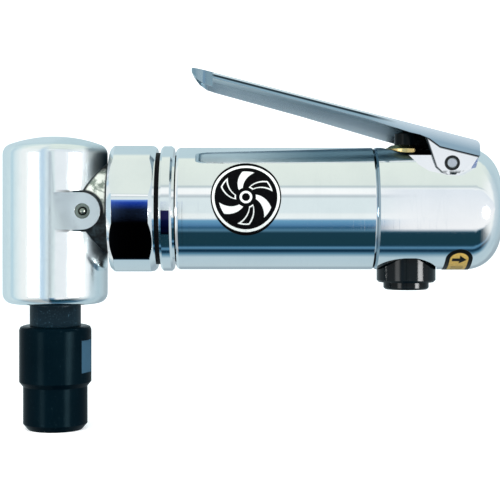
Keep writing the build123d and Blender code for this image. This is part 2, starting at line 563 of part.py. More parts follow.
knob_body_r = PORT_R - 0.05
knob = turned_z([
    (0, KNOB_BOTTOM_Z), (KNOB_LOW_R - 0.6, KNOB_BOTTOM_Z), (KNOB_LOW_R, KNOB_BOTTOM_Z + 0.6),
    (KNOB_LOW_R, KNOB_STEP_Z), (KNOB_R - 0.7, KNOB_STEP_Z), (KNOB_R, KNOB_STEP_Z + 0.7),
    (KNOB_R, KNOB_RELIEF_Z - 0.1), (knob_body_r, KNOB_RELIEF_Z - 0.1), (knob_body_r, CLIP_Z - 0.55),
    (PORT_R - 0.5, CLIP_Z - 0.55), (PORT_R - 0.5, CLIP_Z + 0.55), (knob_body_r, CLIP_Z + 0.55),
    (knob_body_r, -11.0), (PORT_R - 1.2, -11.0), (PORT_R - 1.2, -9.2), (knob_body_r, -9.2),
    (knob_body_r, KNOB_BODY_TOP_Z), (4.9, KNOB_BODY_TOP_Z), (4.9, SPRING_FLOOR_Z), (0, SPRING_FLOOR_Z)])
knob -= block(-5.5, 5.5, -0.7, 0.7, KNOB_BOTTOM_Z, KNOB_BOTTOM_Z + 1.3)
knob = Pos(VALVE_X, 0, 0) * knob
regulator_o_ring = Pos(VALVE_X, 0, -10.1) * Torus(PORT_R - 0.65, 0.55)
regulator_clip = Pos(VALVE_X, 0, 0) * ring_z(CLIP_Z - 0.45, CLIP_Z + 0.45, PORT_R - 0.45, PORT_R + 0.5)
regulator_clip -= block(VALVE_X - 1, VALVE_X + 1, 0, 10, CLIP_Z - 1, CLIP_Z + 1)

# ================= lever =================
nose_x, rear_x = LEVER_X


def below_top(points):
    """Turn (x, drop) points into (x, z) points under the lever's top line."""
    return [(x, lever_line(x) - drop) for x, drop in points]


def lever_plan(inset):
    """Lever outline seen from above, inset from the outer faces, as a tall prism."""
    half = LEVER_HALF_W - inset
    outline = Rectangle(rear_x - nose_x + 40, 2 * half)
    outline = fillet(outline.vertices(), NOSE_CORNER_R - inset)
    return Pos((rear_x + nose_x + 40) / 2 + inset, 0, 0) * extrude(outline, amount=60)


plate = below_top([(nose_x, 0), (rear_x, 0)]) + [(rear_x, lever_line(rear_x, LEVER_T))]
plate += [(nose_x, lever_line(nose_x, LEVER_T))]
lever = lever_plan(0) & side_prism(plate, -20, 20)
skirt = lever_plan(0) - lever_plan(LEVER_T)
for y0, y1, edge in ((-20, 0, NEAR_EDGE), (0, 20, FAR_EDGE)):
    wall = below_top(NOSE_EDGE + edge) + CREASE + below_top([(rear_x, 0), (nose_x, 0)])
    lever += skirt & side_prism(wall, y0, y1)
ear = EAR_EDGE + EAR_BACK + [CREASE[-1], (rear_x, CREASE[-1][1] + 2)]
lever += side_prism(ear, -EAR_OUT_Y, -EAR_IN_Y) + side_prism(ear, EAR_IN_Y, EAR_OUT_Y)
lever -= rod_y(-20, 20, PIN_R + 0.05, PIVOT_X, PIVOT_Z)
round_x = rear_x - REAR_ROUND_R
round_z = lever_line(round_x, REAR_ROUND_R)
rear_corner = [(round_x - 1, round_z + REAR_ROUND_R + 2)]
for a in (tilt, tilt + 0.44, tilt + 0.88, pi / 2):
    rear_corner.append((round_x + REAR_ROUND_R * sin(a), round_z + REAR_ROUND_R * cos(a)))
rear_corner += [(rear_x + 2, round_z - 1), (rear_x + 2, round_z + 5)]
lever -= side_prism(rear_corner, -20, 20)

pin = rod_y(-PIN_END_Y, PIN_END_Y, PIN_R, PIVOT_X, PIVOT_Z)
pin = chamfer(pin.edges().filter_by(GeomType.CIRCLE), 0.3)
pin_clip = rod_y(EAR_OUT_Y + 0.05, EAR_OUT_Y + 0.6, PIN_CLIP_R, PIVOT_X, PIVOT_Z)
pin_clip -= rod_y(0, 20, PIN_R, PIVOT_X, PIVOT_Z)

# ================= badge and label =================
badge_skin = ring_x(BADGE_X - 14, BADGE_X + 14, BARREL_R, BARREL_R + 0.25)
badge_cut = Pos(BADGE_X, 0, 0) * extrude(Plane.XZ * Ellipse(*BADGE_SIZE), amount=30)
badge = Rot(-BADGE_ANGLE, 0, 0) * (badge_skin & badge_cut)
label_skin = ring_x(LABEL_X - 8, LABEL_X + 8, BARREL_R, BARREL_R + 0.12)
label_cut = block(LABEL_X - LABEL_W / 2, LABEL_X + LABEL_W / 2, -30, 0, -5.0, 5.0)
for z in (-5.0, 5.0):
    label_cut += rod_y(-30, 0, LABEL_W / 2, LABEL_X, z)
label = Rot(-LABEL_ANGLE, 0, 0) * (label_skin & label_cut)

nodes = {
    "angle_head": head,
    "grease_fitting": group([grease_cup, grease_ball]),
    "head_plug": head_plug,
    "bearing_cap": bearing_cap,
    "head_bearing_shell": needle_shell,
    "head_bearing_rollers": group(needles),
    "spindle_bearing_outer_race": sp_place * sp_outer,
    "spindle_bearing_inner_race": sp_place * sp_inner,
    "spindle_bearing_balls": sp_place * sp_balls,
    "bevel_gear": bevel_gear,
    "gear_key": gear_key,
    "gear_lock_nut": gear_lock_nut,
    "spindle": spindle,
    "split_collet": collet,
    "collet_nut": collet_nut,
    "bevel_pinion": bevel_pinion,
    "pinion_bearing_outer_races": pin_outer,
    "pinion_bearing_inner_races": pin_inner,
    "pinion_bearing_balls": pin_balls,
    "pinion_retaining_ring": pinion_retaining_ring,
    "neck_retaining_ring": neck_ring,
    "clamp_nut": clamp_nut,
    "seal_ring": seal_ring,
    "lock_ring": lock_ring,
    "motor_housing": motor_housing,
    "front_end_plate": front_end_plate,
    "cylinder_sleeve": cylinder_sleeve,
    "rear_end_plate": rear_end_plate,
    "dowel_pin": dowel_pin,
    "rotor": rotor,
    "rotor_vanes": group(vanes),
    "rotor_bearing_outer_races": rot_outer,
    "rotor_bearing_inner_races": rot_inner,
    "rotor_bearing_balls": rot_balls,
    "gasket": gasket,
    "throttle_housing": housing,
    "inlet_bushing": inlet_bushing,
    "inlet_screen": inlet_screen,
    "valve_bushing": valve_bushing,
    "valve_plunger": plunger,
    "plunger_washer": plunger_washer,
    "valve_spring": spring,
    "regulator_knob": knob,
    "regulator_o_ring": regulator_o_ring,
    "regulator_clip": regulator_clip,
    "throttle_lever": lever,
    "lever_pin": pin,
    "lever_pin_clips": group([pin_clip, mirror(pin_clip, about=Plane.XZ)]),
    "round_badge": badge,
    "direction_label": label,
}

os.makedirs("parts", exist_ok=True)
for name, shape in nodes.items():
    export_step(Pos(0, 0, -COLLET_BOTTOM_Z) * shape, f"parts/{name}.step")
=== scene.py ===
import json
import math

import bmesh
import bpy
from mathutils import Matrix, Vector


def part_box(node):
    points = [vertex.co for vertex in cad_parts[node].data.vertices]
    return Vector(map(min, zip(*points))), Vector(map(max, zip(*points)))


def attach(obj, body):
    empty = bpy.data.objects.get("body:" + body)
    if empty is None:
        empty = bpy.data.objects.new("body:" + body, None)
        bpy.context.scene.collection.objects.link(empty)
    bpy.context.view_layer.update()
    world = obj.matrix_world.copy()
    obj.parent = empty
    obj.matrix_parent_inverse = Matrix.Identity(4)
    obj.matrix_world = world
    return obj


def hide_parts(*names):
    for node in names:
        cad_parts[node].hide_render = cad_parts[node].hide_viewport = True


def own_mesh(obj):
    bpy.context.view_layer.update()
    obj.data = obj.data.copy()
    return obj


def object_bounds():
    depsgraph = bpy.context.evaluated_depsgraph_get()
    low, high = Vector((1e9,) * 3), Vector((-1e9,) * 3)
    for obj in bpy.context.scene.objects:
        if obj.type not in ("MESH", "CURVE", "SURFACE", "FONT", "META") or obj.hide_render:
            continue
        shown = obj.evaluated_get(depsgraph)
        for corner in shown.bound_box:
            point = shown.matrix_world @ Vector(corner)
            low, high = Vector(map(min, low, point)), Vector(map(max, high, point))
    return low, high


# Looks of the pneumatic angle die grinder. Metres, in the CAD row frame:
# +X along the barrel to the air inlet, +Z up the spindle, -Y to the side with the badge.

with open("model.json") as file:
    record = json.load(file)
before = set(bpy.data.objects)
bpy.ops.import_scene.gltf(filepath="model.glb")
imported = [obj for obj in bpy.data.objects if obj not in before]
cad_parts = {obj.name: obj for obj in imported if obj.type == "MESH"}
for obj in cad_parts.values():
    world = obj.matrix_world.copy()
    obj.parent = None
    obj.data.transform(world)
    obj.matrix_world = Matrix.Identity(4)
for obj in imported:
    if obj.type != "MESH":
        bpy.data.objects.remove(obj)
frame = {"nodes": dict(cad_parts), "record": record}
cad_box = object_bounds()
nodes = frame["nodes"]

MM = 0.001


def middle(node):
    lo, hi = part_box(node)
    return (lo + hi) / 2


AXIS_Z = middle("motor_housing").z

# Sizes in mm and angles in degrees of details that are painted on. X is the CAD frame's, and
# heights are above the barrel's axis, but for the collet nut's flat, which is above the origin.
BADGE_ANGLE = 10.3
BADGE_BLADES = 6
LABEL_ANGLE = -68.0
LABEL_ARROW_Z = 4.6
LABEL_BORDER_R = 3.0
TONGUE_END_X = 10.8
TONGUE_Z = -0.8
TONGUE_R = 6.0
HEAD_R = 17.45
HEAD_FLAT_Y = 17.15
HEAD_FRONT_X = 17.6
NUT_FLAT_TURN = -20.0
NUT_FLAT_HALF = 11.5
NUT_FLAT_Z = (14.9, 26.3)
NUT_R = 11.99
LEVER_HALF_W = 12.3
LEVER_TOP_Z = 57.97
LEVER_FALL = 0.25784
LEVER_NOSE_X = 45.8
LEVER_NOSE_END_X = 53.4
LEVER_EAR_X = 121.5
NOSE_CORNER_R = 5.0
CREASE_X = 126.8
CREASE_Z = 20.3
CREASE_FALLS = (0.246, 0.727)
EAR_EDGE = (124.8, 15.5, 0.333)
EAR_HEEL = (125.7, 13.4, 1.06)
EAR_SOLE_Z = 11.6
NOOK_END_X = 129.5
SEAM_X = 106.1

# Sizes in metres.
KNOB_X = 0.117

# How often dull patches repeat on the metals, per metre.
METAL_PATCHES = 55.0

# ---------------------------------------------------------------- camera
CAMERA_DISTANCE = 0.450
FOCAL_MM = 97.0
VIEW_X = 65.0 * MM
SHIFT_Y = -0.083

# ---------------------------------------------------------------- studio
# Colour of the surroundings by angle round the barrel's axis, in degrees:
# 0 faces the camera side, 90 is overhead, -90 is below, 180 is behind.
SURROUND = [
    (-180, (0.66, 0.72, 0.75)), (-150, (0.60, 0.67, 0.71)), (-138, (0.72, 0.80, 0.83)),
    (-104, (0.70, 0.79, 0.83)), (-94, (0.34, 0.52, 0.62)), (-88, (0.07, 0.20, 0.29)),
    (-84, (0.05, 0.18, 0.26)), (-79, (0.36, 0.56, 0.69)), (-74, (0.08, 0.22, 0.29)),
    (-68, (0.10, 0.23, 0.28)), (-46, (0.10, 0.23, 0.29)), (-41, (0.32, 0.49, 0.59)),
    (-36, (0.18, 0.35, 0.47)), (-31, (0.32, 0.51, 0.66)), (-22, (0.42, 0.63, 0.76)),
    (-18, (0.94, 0.97, 0.97)), (-11, (0.93, 0.96, 0.96)), (-7, (0.87, 0.92, 0.93)),
    (19, (0.87, 0.92, 0.93)), (22, (0.72, 0.77, 0.79)), (25, (0.82, 0.86, 0.88)),
    (28, (0.99, 1.00, 1.00)), (37, (0.98, 1.00, 1.00)), (41, (0.72, 0.78, 0.80)),
    (45, (0.88, 0.92, 0.90)), (106, (0.90, 0.94, 0.91)), (112, (0.74, 0.83, 0.86)),
    (168, (0.74, 0.83, 0.86)), (180, (0.66, 0.72, 0.75)),
]
# Colour of the surroundings by compass angle, for directions well off the camera's side:
# 0 faces the camera side, 90 is past the air inlet, -90 is past the angle head.
SIDEWAYS = [
    (-180, (0.78, 0.86, 0.89)), (-130, (0.79, 0.87, 0.90)), (-108, (0.83, 0.90, 0.92)),
    (-100, (0.70, 0.82, 0.88)), (-92, (0.84, 0.91, 0.93)), (-68, (0.97, 0.98, 0.98)),
    (-29, (0.96, 0.98, 0.98)), (-24, (0.74, 0.84, 0.92)), (-17, (0.74, 0.84, 0.92)),
    (-12, (0.88, 0.93, 0.95)), (20, (0.86, 0.92, 0.94)), (25, (0.76, 0.86, 0.92)),
    (31, (0.78, 0.88, 0.93)), (38, (0.97, 0.98, 0.99)), (80, (0.96, 0.98, 0.98)),
    (90, (0.80, 0.86, 0.89)), (115, (0.70, 0.79, 0.83)), (140, (0.76, 0.84, 0.87)),
    (180, (0.78, 0.86, 0.89)),
]
# Narrow bright lamps: compass angle and half width in degrees, and strength. They are seen in
# directions whose Z part is near LAMP_Z, and fade out over LAMP_FADE.
STRIP_LAMPS = [(50, 5.0, 15.0), (-40, 5.0, 6.0)]
LAMP_Z = -0.1
LAMP_FADE = (0.06, 0.16)
# Where the surroundings change, by the X part of the direction they are seen in.
NUT_SIDE_X = (-0.0700, -0.0670)
NUT_EDGE_X = (-0.0705, -0.0690)
HEAD_SIDE_X = (-0.112, -0.103)
INLET_SIDE_X = (0.45, 0.95)
REAR_SIDE_X = (0.0965, 0.101)
# Angles round the barrel's axis, in degrees, of the dark side past the clamp nut and of the
# bright wall that the rear housing sees.
DUSK_FOOT = (-78, -47)
DUSK_CROWN = 11
DUSK_BLEND = 13
WALL_FOOT = (-45, -37)
WALL_CROWN = (35.5, 37)
# Their colours, from the foot up.
DUSK_COLOURS = [(0.0, 0.0, 0.02), (0.18, 0.36, 0.70)]
WALL_COLOURS = [(0.98, 0.985, 0.99), (0.89, 0.92, 0.95)]


def linear(rgb):
    return tuple(c / 12.92 if c <= 0.04045 else ((c + 0.055) / 1.055) ** 2.4 for c in rgb)


class Graph:
    """A node tree with short calls for building shader and geometry node networks."""

    def __init__(self, tree):
        self.tree = tree
        self.links = tree.links

    def node(self, kind, **settings):
        made = self.tree.nodes.new(kind)
        for key, value in settings.items():
            setattr(made, key, value)
        return made

    def feed(self, socket, value):
        if isinstance(value, bpy.types.NodeSocket):
            self.links.new(value, socket)
        elif value is not None:
            socket.default_value = value

    def math(self, operation, *values):
        made = self.node("ShaderNodeMath", operation=operation)
        for i, value in enumerate(values):
            self.feed(made.inputs[i], value)
        return made.outputs[0]

    def mix(self, factor, a, b, blend="MIX"):
        made = self.node("ShaderNodeMix", data_type="RGBA", blend_type=blend)
        self.feed(made.inputs["Factor"], factor)
        for name, value in (("A", a), ("B", b)):
            socket = [s for s in made.inputs if s.name == name and s.type == "RGBA"][0]
            if isinstance(value, tuple):
                value = (*value, 1.0)[:4]
            self.feed(socket, value)
        return [s for s in made.outputs if s.type == "RGBA"][0]

    def span(self, value, low, high, to_low, to_high, smooth=False):
        made = self.node("ShaderNodeMapRange")
        if smooth:
            made.interpolation_type = "SMOOTHSTEP"
        for i, number in enumerate((value, low, high, to_low, to_high)):
            self.feed(made.inputs[i], number)
        return made.outputs[0]

    def noise(self, vector, scale, detail, rough, distortion=0.0):
        made = self.node("ShaderNodeTexNoise")
        self.feed(made.inputs["Vector"], vector)
        made.inputs["Scale"].default_value = scale
        made.inputs["Detail"].default_value = detail
        made.inputs["Roughness"].default_value = rough
        made.inputs["Distortion"].default_value = distortion
        return made.outputs["Fac"]

    def object_coords(self, scale=(1, 1, 1), rotation=(0, 0, 0)):
        place = self.node("ShaderNodeTexCoord").outputs["Object"]
        mapping = self.node("ShaderNodeMapping")
        self.feed(mapping.inputs["Vector"], place)
        mapping.inputs["Scale"].default_value = scale
        mapping.inputs["Rotation"].default_value = rotation
        return mapping.outputs[0]

    def split(self, vector):
        made = self.node("ShaderNodeSeparateXYZ")
        self.feed(made.inputs[0], vector)
        return made.outputs

    def axes(self):
        return self.split(self.node("ShaderNodeTexCoord").outputs["Object"])

    def place_mm(self):
        """X and Y in mm, and the height above the barrel's axis in mm."""
        x, y, z = [self.math("MULTIPLY", axis, 1000.0) for axis in self.axes()]
        return x, y, self.math("SUBTRACT", z, AXIS_Z * 1000)

    def facing(self):
        """The parts of the direction that the surface faces."""
        return self.split(self.node("ShaderNodeNewGeometry").outputs["Normal"])

    def length(self, a, b):
        squares = self.math("ADD", self.math("MULTIPLY", a, a), self.math("MULTIPLY", b, b))
        return self.math("SQRT", squares)


def angle_colours(g, angle, colours):
    """A colour for each angle in radians, blended between the listed angles in degrees."""
    ramp = g.node("ShaderNodeValToRGB")
    g.feed(ramp.inputs[0], g.span(angle, -math.pi, math.pi, 0.0, 1.0))
    stops = ramp.color_ramp.elements
    for i, (degrees, colour) in enumerate(colours):
        where = (degrees + 180) / 360
        stop = stops[i] if i < 2 else stops.new(where)
        stop.position = where
        stop.color = (*linear(colour), 1.0)
    return ramp.outputs["Color"]


def build_world():
    world = bpy.data.worlds.new("studio_surround")
    bpy.context.scene.world = world
    world.use_nodes = True
    world.node_tree.nodes.clear()
    g = Graph(world.node_tree)
    x, y, z = g.split(g.node("ShaderNodeTexCoord").outputs["Generated"])
    toward = g.math("MULTIPLY", y, -1.0)
    angle = g.math("ARCTAN2", z, toward)
    around = angle_colours(g, angle, SURROUND)
    # Round parts that stand upright also see the room to the left and right of the camera.
    turn = g.math("ARCTAN2", x, toward)
    sideways = angle_colours(g, turn, SIDEWAYS)
    # Past the clamp nut the lower side of the room is nearly black, with a blue upper edge.
    past_nut = g.span(x, *NUT_SIDE_X, 1.0, 0.0, True)
    foot = g.span(x, *NUT_EDGE_X, *[math.radians(degrees) for degrees in DUSK_FOOT])
    crown = g.span(x, *NUT_EDGE_X, math.radians(DUSK_CROWN), 0.0)
    above = g.math("SUBTRACT", angle, crown)
    below_crown = g.span(above, math.radians(-1), math.radians(5), 1.0, 0.0, True)
    above_foot = g.span(g.math("SUBTRACT", angle, foot), -0.05, 0.03, 0.0, 1.0, True)
    dusk = g.math("MULTIPLY", g.math("MULTIPLY", below_crown, past_nut), above_foot)
    depth = g.span(above, math.radians(-DUSK_BLEND), 0.0, 0.0, 1.0)
    dusk_tint = g.mix(depth, *[linear(colour) for colour in DUSK_COLOURS])
    base = g.mix(dusk, around, dusk_tint)
    past_head = g.span(x, *HEAD_SIDE_X, 1.0, 0.0, True)
    past_inlet = g.span(x, *INLET_SIDE_X, 0.0, 1.0, True)
    off_axis = g.math("MAXIMUM", past_head, past_inlet)
    level = g.span(g.math("ABSOLUTE", z), 0.45, 0.75, 1.0, 0.5, True)
    shaded = g.mix(g.math("MULTIPLY", off_axis, level), base, sideways)
    # The rear housing sees a plain bright wall where the barrel sees blue bands.
    wall_foot = [math.radians(degrees) for degrees in WALL_FOOT]
    wall_crown = [math.radians(degrees) for degrees in WALL_CROWN]
    rear = g.span(x, *REAR_SIDE_X, 0.0, 1.0, True)
    rear = g.math("MULTIPLY", rear, g.span(angle, *wall_foot, 0.0, 1.0, True))
    rear = g.math("MULTIPLY", rear, g.span(angle, *wall_crown, 1.0, 0.0, True))
    rise = g.span(angle, wall_foot[1], wall_crown[0], 0.0, 1.0)
    wall = g.mix(rise, *[linear(colour) for colour in WALL_COLOURS])
    shaded = g.mix(rear, shaded, wall)
    lamp_band = g.math("ABSOLUTE", g.math("SUBTRACT", z, LAMP_Z))
    lamp_band = g.span(lamp_band, *LAMP_FADE, 1.0, 0.0, True)
    for compass, width, power in STRIP_LAMPS:
        offset = g.math("ABSOLUTE", g.math("SUBTRACT", turn, math.radians(compass)))
        lamp = g.span(offset, math.radians(width), math.radians(width * 2.5), power, 0.0, True)
        lamp = g.math("MULTIPLY", lamp, lamp_band)
        shaded = g.mix(1.0, shaded, lamp, "ADD")
    background = g.node("ShaderNodeBackground")
    g.feed(background.inputs["Color"], shaded)
    background.inputs["Strength"].default_value = 1.0
    out = g.node("ShaderNodeOutputWorld")
    g.links.new(background.outputs[0], out.inputs["Surface"])


def soft_light(name, place, aim, size, power, colour):
    data = bpy.data.lights.new(name, "AREA")
    data.shape = "RECTANGLE"
    data.size, data.size_y = size
    data.energy = power
    data.color = colour
    light = bpy.data.objects.new(name, data)
    bpy.context.scene.collection.objects.link(light)
    light.location = place
    light.rotation_euler = (Vector(aim) - Vector(place)).to_track_quat("-Z", "Y").to_euler()
    light.visible_glossy = False
    return light


def strip_light(place, aim, size, power):
    """A small lamp that shows only in shiny surfaces."""
    light = soft_light("strip", place, aim, size, power, (1.0, 1.0, 1.0))
    light.visible_glossy = True
    light.visible_diffuse = False


def build_backdrop(floor_z):
    """A pale floor that sweeps up into a wall well behind the tool."""
    front, bend, radius, height = -2.5, 1.6, 0.8, 3.0
    half_width = 4.0
    steps = 12
    profile = [(front, floor_z)]
    for i in range(steps + 1):
        a = math.radians(90 * i / steps)
        profile.append((bend + radius * math.sin(a), floor_z + radius * (1 - math.cos(a))))
    profile.append((bend + radius, floor_z + height))
    mesh = bpy.data.meshes.new("backdrop")
    bm = bmesh.new()
    rows = [[bm.verts.new((x, y, z)) for y, z in profile] for x in (-half_width, half_width)]
    for i in range(len(profile) - 1):
        bm.faces.new((rows[0][i], rows[1][i], rows[1][i + 1], rows[0][i + 1]))
    bm.to_mesh(mesh)
    bm.free()
    mesh.shade_smooth()
    backdrop = bpy.data.objects.new("backdrop", mesh)
    bpy.context.scene.collection.objects.link(backdrop)
    material = bpy.data.materials.new("backdrop_paper")
    material.use_nodes = True
    g = Graph(material.node_tree)
    shader = g.tree.nodes["Principled BSDF"]
    shader.inputs["Base Color"].default_value = (0.9, 0.9, 0.9, 1)
    shader.inputs["Roughness"].default_value = 0.9
    shader.inputs["Emission Color"].default_value = (1, 1, 1, 1)
    shader.inputs["Emission Strength"].default_value = 0.45
    mesh.materials.append(material)
    backdrop.visible_glossy = False
    backdrop.visible_diffuse = False


# ---------------------------------------------------------------- materials
def new_material(name):
    material = bpy.data.materials.new(name)
    material.use_nodes = True
    return Graph(material.node_tree), material, material.node_tree.nodes["Principled BSDF"]


def bump(g, shader, height, strength, distance):
    made = g.node("ShaderNodeBump")
    made.inputs["Strength"].default_value = strength
    made.inputs["Distance"].default_value = distance
    g.feed(made.inputs["Height"], height)
    g.feed(shader.inputs["Normal"], made.outputs[0])


def scratches(g, scale, rotation, stretch, amount):
    """Thin straight hairlines: 1 on a scratch and 0 elsewhere."""
    coords = g.object_coords((1.0, stretch, stretch), rotation)
    lines = g.noise(coords, scale, 1.5, 0.4)
    return g.span(g.math("ABSOLUTE", g.math("SUBTRACT", lines, 0.5)), 0.0, amount, 1.0, 0.0)


def metal(name, colour, dark, rough, rough_spread, grain=0.0, grain_axis=0, wear=0.3, lines=1.0):
    """Metal with uneven polish, fine grain, hairline scratches and dulled patches."""
    g, material, shader = new_material(name)
    coords = g.object_coords()
    patches = g.noise(coords, METAL_PATCHES, 4.0, 0.6)
    fine = g.noise(coords, METAL_PATCHES * 14, 3.0, 0.65)
    hair = scratches(g, 260.0, (0.3, 0.5, 0.9), 0.06, 0.012)
    hair_b = scratches(g, 190.0, (1.1, 0.2, 2.3), 0.05, 0.009)
    hairs = g.math("MULTIPLY", g.math("MAXIMUM", hair, hair_b), lines)
    stain = g.span(patches, 0.38, 0.68, 0.0, 1.0, True)
    tint = g.mix(g.math("MULTIPLY", stain, wear), colour, dark)
    tint = g.mix(g.math("MULTIPLY", hairs, wear * 0.35), tint, dark)
    g.feed(shader.inputs["Base Color"], tint)
    roughness = g.math("ADD", g.math("MULTIPLY", patches, rough_spread), rough - rough_spread / 2)
    roughness = g.math("ADD", roughness, g.math("MULTIPLY", hairs, rough_spread * 0.7))
    g.feed(shader.inputs["Roughness"], g.math("MAXIMUM", roughness, 0.02))
    shader.inputs["Metallic"].default_value = 1.0
    stretch = [14.0, 14.0, 14.0]
    stretch[grain_axis] = 1.0
    brushed = g.noise(g.object_coords(tuple(stretch)), 320.0, 3.0, 0.6)
    height = g.math("ADD", g.math("MULTIPLY", brushed, grain), g.math("MULTIPLY", fine, 0.25))
    height = g.math("SUBTRACT", height, g.math("MULTIPLY", hairs, 0.25))
    bump(g, shader, height, 0.12 + grain * 0.3, 0.02 * MM)
    return material


def coated(name, colour, light, rough, speck_scale, speck_amount, ior=1.5, pit=0.35):
    """Dark coating or plastic with specks, worn spots and a pebbled surface."""
    g, material, shader = new_material(name)
    coords = g.object_coords()
    specks = g.noise(coords, speck_scale, 5.0, 0.75)
    broad = g.noise(coords, 90.0, 3.0, 0.5)
    worn = g.span(specks, 0.56, 0.72, 0.0, speck_amount, True)
    tint = g.mix(worn, colour, light)
    tint = g.mix(g.span(broad, 0.35, 0.7, 0.0, 0.35), tint, tuple(c * 0.6 for c in colour))
    g.feed(shader.inputs["Base Color"], tint)
    roughness = g.span(g.math("ADD", broad, specks), 0.7, 1.3, rough * 0.75, rough * 1.3)
    g.feed(shader.inputs["Roughness"], roughness)
    shader.inputs["IOR"].default_value = ior
    bump(g, shader, specks, pit, 0.03 * MM)
    return material


def surface_offsets(g, node, angle):
    """Distances in mm from a node's middle: along X, and up the barrel's slope at that angle."""
    x, y, z = g.axes()
    along = g.math("MULTIPLY", g.math("SUBTRACT", x, middle(node).x), 1000.0)
    up_y = g.math("MULTIPLY", y, math.sin(angle) * 1000)
    up_z = g.math("MULTIPLY", g.math("SUBTRACT", z, AXIS_Z), math.cos(angle) * 1000)
    return along, g.math("ADD", up_y, up_z)


def inside(g, value, edge, soft=0.12):
    """1 where value is below edge, with a soft step in mm."""
    return g.span(value, edge - soft, edge + soft, 1.0, 0.0)


def between(g, value, low, high, soft=0.12):
    above = g.math("SUBTRACT", 1.0, inside(g, value, low, soft))
    return g.math("MULTIPLY", inside(g, value, high, soft), above)


def head_material():
    """Satin plated head, rough on the neck, with painted shade on the neck (cast marks show on its
    upper part) and on the head's side next to it, and a painted shadow line round the tongue.
    """
    g, material, shader = new_material("head_metal")
    x, y, up = g.place_mm()
    radius = g.length(x, y)
    past = g.math("MAXIMUM", g.math("SUBTRACT", x, TONGUE_END_X), 0.0)
    rise = g.math("SUBTRACT", up, TONGUE_Z)
    off_tongue = g.math("SUBTRACT", g.length(past, rise), TONGUE_R)
    out = g.math("ABSOLUTE", y)
    low_face = g.math("SUBTRACT", 1.0, g.span(out, HEAD_FLAT_Y, HEAD_FLAT_Y + 0.1, 0.0, 1.0))
    neck = g.math("MULTIPLY", g.span(radius, HEAD_R, HEAD_R + 0.15, 0.0, 1.0), low_face)
    marks = g.noise(g.object_coords(), 330.0, 4.0, 0.65, 0.6)
    fine = g.noise(g.object_coords(), 1500.0, 3.0, 0.6)
    plating = g.mix(g.span(marks, 0.4, 0.75, 0.0, 0.25), (0.91, 0.95, 0.955), (0.78, 0.83, 0.85))
    # Painted shade on the neck, kept off the part where the cast surface shows.
    neck_shade = g.mix(g.span(marks, 0.45, 0.7, 0.0, 1.0), (0.006, 0.008, 0.009), (0.045, 0.07, 0.08))
    cast = g.mix(g.span(marks, 0.44, 0.6, 0.0, 1.0, True), (0.86, 0.88, 0.80), (0.22, 0.26, 0.22))
    bare = g.math("MULTIPLY", g.span(up, -2.0, -0.6, 0.0, 1.0, True),
                  g.span(up, 11.0, 13.5, 1.0, 0.0, True))
    bare = g.math("MULTIPLY", bare, g.span(x, HEAD_FRONT_X, HEAD_FRONT_X + 0.5, 1.0, 0.0))
    bare = g.math("MULTIPLY", bare, g.span(radius, HEAD_R + 0.45, HEAD_R + 0.95, 0.0, 1.0))
    bare = g.math("MULTIPLY", bare, g.span(off_tongue, 0.7, 1.2, 0.0, 1.0))
    neck_tint = g.mix(bare, neck_shade, cast)
    # Painted shade on the head's side next to the neck.
    fade = g.math("MULTIPLY", g.span(up, -19.0, -13.5, 0.0, 1.0, True),
                  g.span(up, 17.5, 21.5, 1.0, 0.0, True))
    shade = g.math("MULTIPLY", g.span(x, 11.0, 17.0, 0.0, 1.0), fade)
    shade = g.math("MULTIPLY", shade, low_face)
    shade = g.math("MULTIPLY", shade, g.span(off_tongue, -0.1, 0.1, 0.0, 1.0))
    # Painted shadow line on the head round the tongue.
    seam = g.math("MULTIPLY", g.span(off_tongue, 0.5, 1.0, 1.0, 0.0, True),
                  g.span(off_tongue, -0.1, 0.05, 0.0, 1.0))
    seam = g.math("MULTIPLY", seam, g.math("MULTIPLY", low_face, g.span(x, 2.0, 8.0, 0.0, 1.0)))
    tint = g.mix(g.math("POWER", shade, 0.8), plating, (0.02, 0.05, 0.07))
    tint = g.mix(seam, tint, (0.006, 0.01, 0.012))
    tint = g.mix(neck, tint, neck_tint)
    g.feed(shader.inputs["Base Color"], tint)
    g.feed(shader.inputs["Metallic"], g.math("SUBTRACT", 1.0, g.math("MULTIPLY", neck, 0.8)))
    polish = g.span(marks, 0.3, 0.7, 0.13, 0.2)
    dulled = g.math("MAXIMUM", g.math("MULTIPLY", neck, 0.22), g.math("MULTIPLY", shade, 0.6))
    g.feed(shader.inputs["Roughness"], g.math("ADD", polish, dulled))
    casting = g.math("MULTIPLY", g.math("MULTIPLY", marks, neck), 3.0)
    height = g.math("ADD", g.math("MULTIPLY", fine, 0.3), casting)
    bump(g, shader, height, 0.3, 0.03 * MM)
    return material


